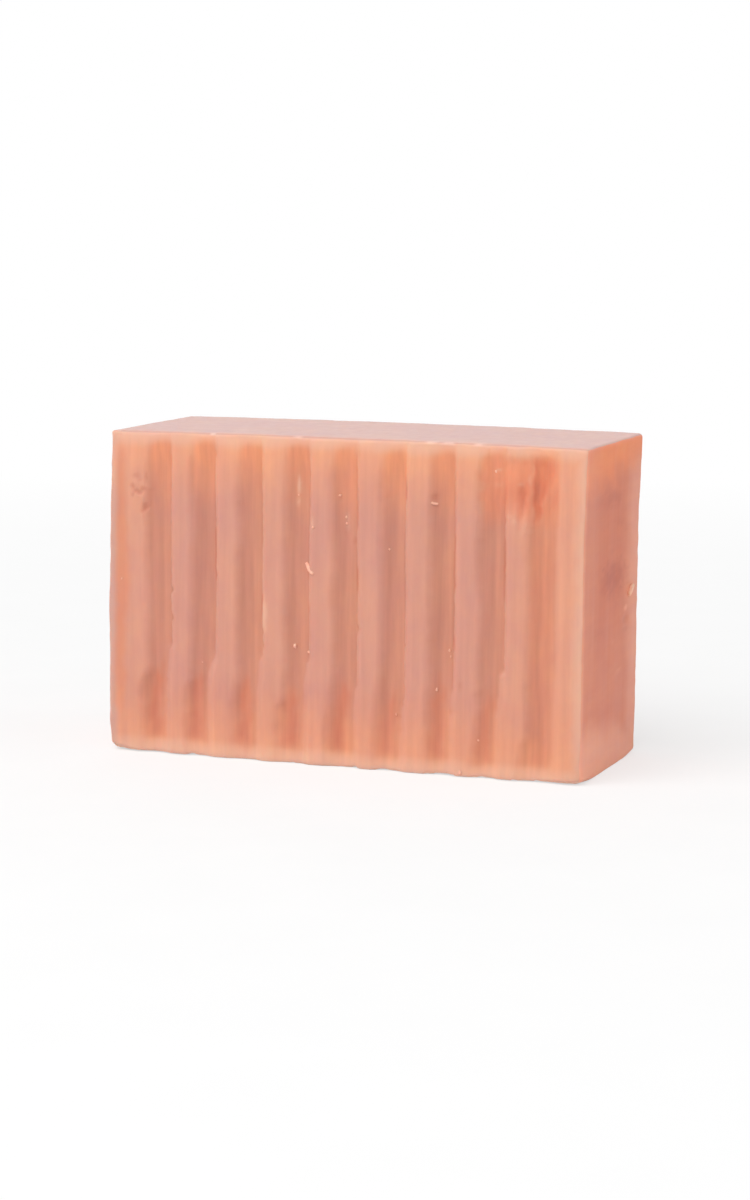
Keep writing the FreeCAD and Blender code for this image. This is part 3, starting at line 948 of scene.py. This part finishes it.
SOAP_ROUGHNESS, CRUMB_ROUGHNESS, FLOOR_ROUGHNESS = (0.48, 0.60), (0.5, 0.65), 0.9
SOAP_SPECULAR, FLOOR_SPECULAR = 0.25, 0.1
SCATTER_COLOURS = (1.0, 0.5, 0.35)  # how far red, green and blue light goes in soap
SOAP_SCATTER, CRUMB_SCATTER = (0.6, 0.8), (0.4, 0.3)  # weight, and scale in millimetres
BUMP_STRENGTH, BUMP_DISTANCE = 0.3, 0.06
# How white the camera sees the floor, 0 to 1, at two distances from the bar's middle in metres.
WHITE_NEAR, WHITE_FAR = (0.07, 0.6), (0.45, 1.0)


def linear(colour):
    """A colour given as 0-255 screen values, as the shader's linear values."""
    parts = [c / 255 for c in colour]
    return tuple(p / 12.92 if p <= 0.04045 else ((p + 0.055) / 1.055) ** 2.4 for p in parts) + (1.0,)


def plug(socket, value):
    """Links a socket to another, or gives it a plain value."""
    if isinstance(value, bpy.types.NodeSocket):
        socket.id_data.links.new(value, socket)
    else:
        socket.default_value = value


def add_node(tree, kind, inputs=None, **settings):
    """A shader node of a kind, with its settings made and its inputs plugged."""
    node = tree.nodes.new("ShaderNode" + kind)
    for name, value in settings.items():
        setattr(node, name, value)
    for name, value in (inputs or {}).items():
        plug(node.inputs[name], value)
    return node


def stain(tree, name):
    """One of the stains and painted light layers on the mesh."""
    return add_node(tree, "Attribute", attribute_name=name).outputs["Fac"]


def mixed(tree, factor, first, second, how="MIX"):
    """Two colours mixed by a factor. A colour is a socket or 0-255 screen values."""
    node = add_node(tree, "Mix", data_type="RGBA", blend_type=how)
    plug(node.inputs[0], factor)
    for socket, colour in ((node.inputs[6], first), (node.inputs[7], second)):
        plug(socket, colour if isinstance(colour, bpy.types.NodeSocket) else linear(colour))
    return node.outputs[2]


def tinted(tree, colour, factor, first, second):
    """A colour multiplied by a tint between two others."""
    return mixed(tree, 1.0, colour, mixed(tree, factor, first, second), "MULTIPLY")


def grain(tree, scale, detail=3.0):
    """Noise in the object's own space, with scale in cells per millimetre along X, Y and Z."""
    where = add_node(tree, "TexCoord").outputs["Object"]
    sized = add_node(tree, "Mapping", {"Vector": where, "Scale": tuple(s / MM for s in scale)})
    inputs = {"Vector": sized.outputs["Vector"], "Scale": 1.0, "Detail": detail, "Roughness": 0.55}
    return add_node(tree, "TexNoise", inputs).outputs["Fac"]


def ranged(tree, value, source, target=(0.0, 1.0)):
    """A value moved from one (low, high) range to another."""
    inputs = dict(zip(("Value", "From Min", "From Max", "To Min", "To Max"), (value, *source, *target)))
    return add_node(tree, "MapRange", inputs).outputs["Result"]


def new_material(name):
    """A node material: itself, its tree and its shader."""
    material = bpy.data.materials.new(name)
    material.use_nodes = True
    return material, material.node_tree, material.node_tree.nodes["Principled BSDF"]


def set_scattering(shader, scatter):
    """How light goes into soap: scatter is (weight, scale in millimetres)."""
    shader.inputs["Subsurface Weight"].default_value = scatter[0]
    shader.inputs["Subsurface Radius"].default_value = SCATTER_COLOURS
    shader.inputs["Subsurface Scale"].default_value = scatter[1] * MM
    shader.inputs["Specular IOR Level"].default_value = SOAP_SPECULAR


def stained_colour(tree):
    """The soap's colour, from the stains and painted light and shade on the mesh."""
    # Crests, and grooves darkened partly by painted shade.
    grooved = mixed(tree, stain(tree, "hollow"), CREST_PINK, HOLLOW_SHADE_PINK)
    grooved = mixed(tree, stain(tree, "lit_groove_floor"), grooved, HOLLOW_LIT_WARM)
    fresh_and_glow = mixed(tree, stain(tree, "groove_glow"), FRESH_GLOW_ORANGE, HOLLOW_GLOW_ORANGE)
    sliced = mixed(tree, stain(tree, "end_top"), END_RED, END_ORANGE)
    sliced = mixed(tree, stain(tree, "bruise"), sliced, END_DARK)
    sliced = mixed(tree, stain(tree, "pale_end"), sliced, END_PEACH)
    layers = [
        ("fresh_and_glow", fresh_and_glow), ("torn", TORN_ORANGE), ("sliced", sliced), ("core", CORE_ORANGE),
        ("tear", TEAR_RED), ("dent_shade", DENT_SHADE_BROWN), ("pale", PALE_AND_LIT_PEACH), ("dust", DUST_AND_SHEEN_PINK),
        ("chip_highlight", CHIP_HIGHLIGHT_WHITE),
    ]
    colour = grooved
    for name, layer in layers:
        colour = mixed(tree, stain(tree, name), colour, layer)
    return colour


def soap_material():
    """Pink clay soap: its stains and painted light and shade, the knife's drawn-out lines, and faint
    blotches.
    """
    material, tree, shader = new_material("pink_clay_soap")
    sliced = stain(tree, "sliced")
    lines = grain(tree, KNIFE_GRAIN, detail=5)
    blotch = mixed(tree, sliced, grain(tree, BLOTCH_GRAIN, detail=4), grain(tree, SLICE_GRAIN, detail=4))
    drift = grain(tree, DRIFT_GRAIN, detail=2)
    line_tint = mixed(tree, stain(tree, "hollow"), CREST_LINES, HOLLOW_LINES)
    line_tint = mixed(tree, stain(tree, "cut"), NO_TINT, line_tint)
    colour = tinted(tree, stained_colour(tree), ranged(tree, lines, KNIFE_RANGE), line_tint, NO_TINT)
    colour = tinted(tree, colour, ranged(tree, blotch, BLOTCH_RANGE), *BLOTCH_TINTS)
    colour = tinted(tree, colour, ranged(tree, drift, DRIFT_RANGE), *DRIFT_TINTS)
    plug(shader.inputs["Base Color"], colour)
    plug(shader.inputs["Roughness"], ranged(tree, lines, KNIFE_RANGE, SOAP_ROUGHNESS))
    set_scattering(shader, SOAP_SCATTER)

    fine = mixed(tree, sliced, grain(tree, FINE_GRAIN, detail=4), grain(tree, FINE_SLICE_GRAIN))
    inputs = {"Height": fine, "Strength": BUMP_STRENGTH, "Distance": BUMP_DISTANCE * MM}
    plug(shader.inputs["Normal"], add_node(tree, "Bump", inputs).outputs["Normal"])
    return material


def crumb_material(name, first, second):
    """Dried soap, paler than the bar, in patches of two colours."""
    material, tree, shader = new_material(name)
    patches = ranged(tree, grain(tree, CRUMB_GRAIN), CRUMB_RANGE)
    plug(shader.inputs["Base Color"], mixed(tree, patches, first, second))
    plug(shader.inputs["Roughness"], ranged(tree, patches, (0.0, 1.0), CRUMB_ROUGHNESS))
    set_scattering(shader, CRUMB_SCATTER)
    return material


def floor_material():
    """A pale floor. Away from the bar the camera sees it as plain white, and the bar's shadow stays."""
    material, tree, shader = new_material("studio_floor")
    tint = mixed(tree, ranged(tree, grain(tree, FLOOR_GRAIN), FLOOR_RANGE), *FLOOR_GREYS)
    plug(shader.inputs["Base Color"], tint)
    shader.inputs["Roughness"].default_value = FLOOR_ROUGHNESS
    shader.inputs["Specular IOR Level"].default_value = FLOOR_SPECULAR

    white = add_node(tree, "Emission", {"Color": (1, 1, 1, 1), "Strength": 1.0})
    where = add_node(tree, "TexCoord").outputs["Object"]
    far = add_node(tree, "VectorMath", {0: where}, operation="LENGTH").outputs["Value"]
    whiteness = ranged(tree, far, (WHITE_NEAR[0], WHITE_FAR[0]), (WHITE_NEAR[1], WHITE_FAR[1]))
    camera = add_node(tree, "LightPath").outputs["Is Camera Ray"]
    share = add_node(tree, "Math", {0: whiteness, 1: camera}, operation="MULTIPLY").outputs["Value"]
    inputs = {0: share, 1: shader.outputs["BSDF"], 2: white.outputs["Emission"]}
    joined = add_node(tree, "MixShader", inputs).outputs["Shader"]
    plug(tree.nodes["Material Output"].inputs["Surface"], joined)
    return material


# ======== studio, in metres, degrees and watts
FLOOR_RADIUS = 6.0
WORLD_LIGHT = 0.42
# Each lamp is (name, azimuth, elevation, distance, size, power).
LAMPS = [
    ("key", -18, 52, 1.2, 1.2, 11.8),
    ("fill", 95, 20, 1.4, 1.4, 3.3),
    ("back_fill", 200, 25, 1.5, 1.5, 2.2),
]
CAMERA_AZIMUTH, CAMERA_ELEVATION, CAMERA_ROLL = 20.12, 8.13, 0.44
CAMERA_DISTANCE, CAMERA_LENS = 490.9 * MM, 90.4
CAMERA_TARGET = Vector((0, -0.39, TOP / 2 + 0.45)) * MM
CAMERA_RIGHT, CAMERA_UP = 0.19 * MM, -1.51 * MM  # how far the camera is moved without turning it


def aim(azimuth, elevation):
    """The direction from the bar at an azimuth, 0 in front and positive to the right, and an elevation."""
    a, e = math.radians(azimuth), math.radians(elevation)
    return Vector((math.sin(a) * math.cos(e), -math.cos(a) * math.cos(e), math.sin(e)))


def add_floor():
    """A round floor under the bar, wide enough to have no edge in view."""
    shape = bmesh.new()
    bmesh.ops.create_circle(shape, cap_ends=True, segments=96, radius=FLOOR_RADIUS)
    mesh = mesh_of("floor", shape)
    mesh.materials.append(floor_material())
    floor = placed("floor", mesh)


def add_world():
    """White where the camera, a reflection or glass sees it, and an even grey light on everything."""
    world = bpy.data.worlds.new("studio")
    scene.world = world
    world.use_nodes = True
    tree = world.node_tree
    path = add_node(tree, "LightPath").outputs
    seen = path["Is Camera Ray"]
    for ray in ("Is Glossy Ray", "Is Transmission Ray"):
        seen = add_node(tree, "Math", {0: seen, 1: path[ray]}, operation="MAXIMUM").outputs[0]
    background = tree.nodes["Background"].inputs
    plug(background["Color"], (1, 1, 1, 1))
    plug(background["Strength"], ranged(tree, seen, (0.0, 1.0), (WORLD_LIGHT, 1.0)))


def add_lamp(name, azimuth, elevation, distance, size, power):
    """A round soft lamp that faces the bar's middle."""
    lamp = bpy.data.lights.new(name, "AREA")
    lamp.shape = "DISK"
    lamp.size = size
    lamp.energy = power
    holder = placed(name, lamp)
    toward = aim(azimuth, elevation)
    holder.location = toward * distance + Vector((0, 0, TOP / 2 * MM))
    holder.rotation_euler = toward.to_track_quat("Z", "Y").to_euler()


def add_camera():
    """The camera stands to the right of the front face and a little above, and rolls a little."""
    roll = math.radians(CAMERA_ROLL)
    back = aim(CAMERA_AZIMUTH, CAMERA_ELEVATION)
    level = Vector((math.cos(math.radians(CAMERA_AZIMUTH)), math.sin(math.radians(CAMERA_AZIMUTH)), 0))
    upright = back.cross(level)
    right = level * math.cos(roll) + upright * math.sin(roll)
    up = upright * math.cos(roll) - level * math.sin(roll)
    camera = placed("camera", bpy.data.cameras.new("camera"))
    camera.data.lens = CAMERA_LENS
    camera.data.clip_start = 0.01
    place = CAMERA_TARGET + back * CAMERA_DISTANCE + right * CAMERA_RIGHT + up * CAMERA_UP
    camera.matrix_world = Matrix.Translation(place) @ Matrix((right, up, back)).transposed().to_4x4()
    scene.camera = camera


add_bar(soap_material())
dried = crumb_material("dried_soap", CRUMB_PINK, CRUMB_CREAM)
# The end's shaving: a lighter copy of the dried soap, painted light on the shaded end.
shaving = crumb_material("soap_shaving_painted_light", CURL_LIT_PEACH, CURL_LIT_CREAM)
add_crumbs(dried)
add_curls("front_curl", FRONT_CURLS, front_point, dried)
add_curls("end_curl", END_CURLS, end_point, shaving)

add_floor()
add_world()
for lamp in LAMPS:
    add_lamp(*lamp)
add_camera()
scene.view_settings.view_transform = "Standard"
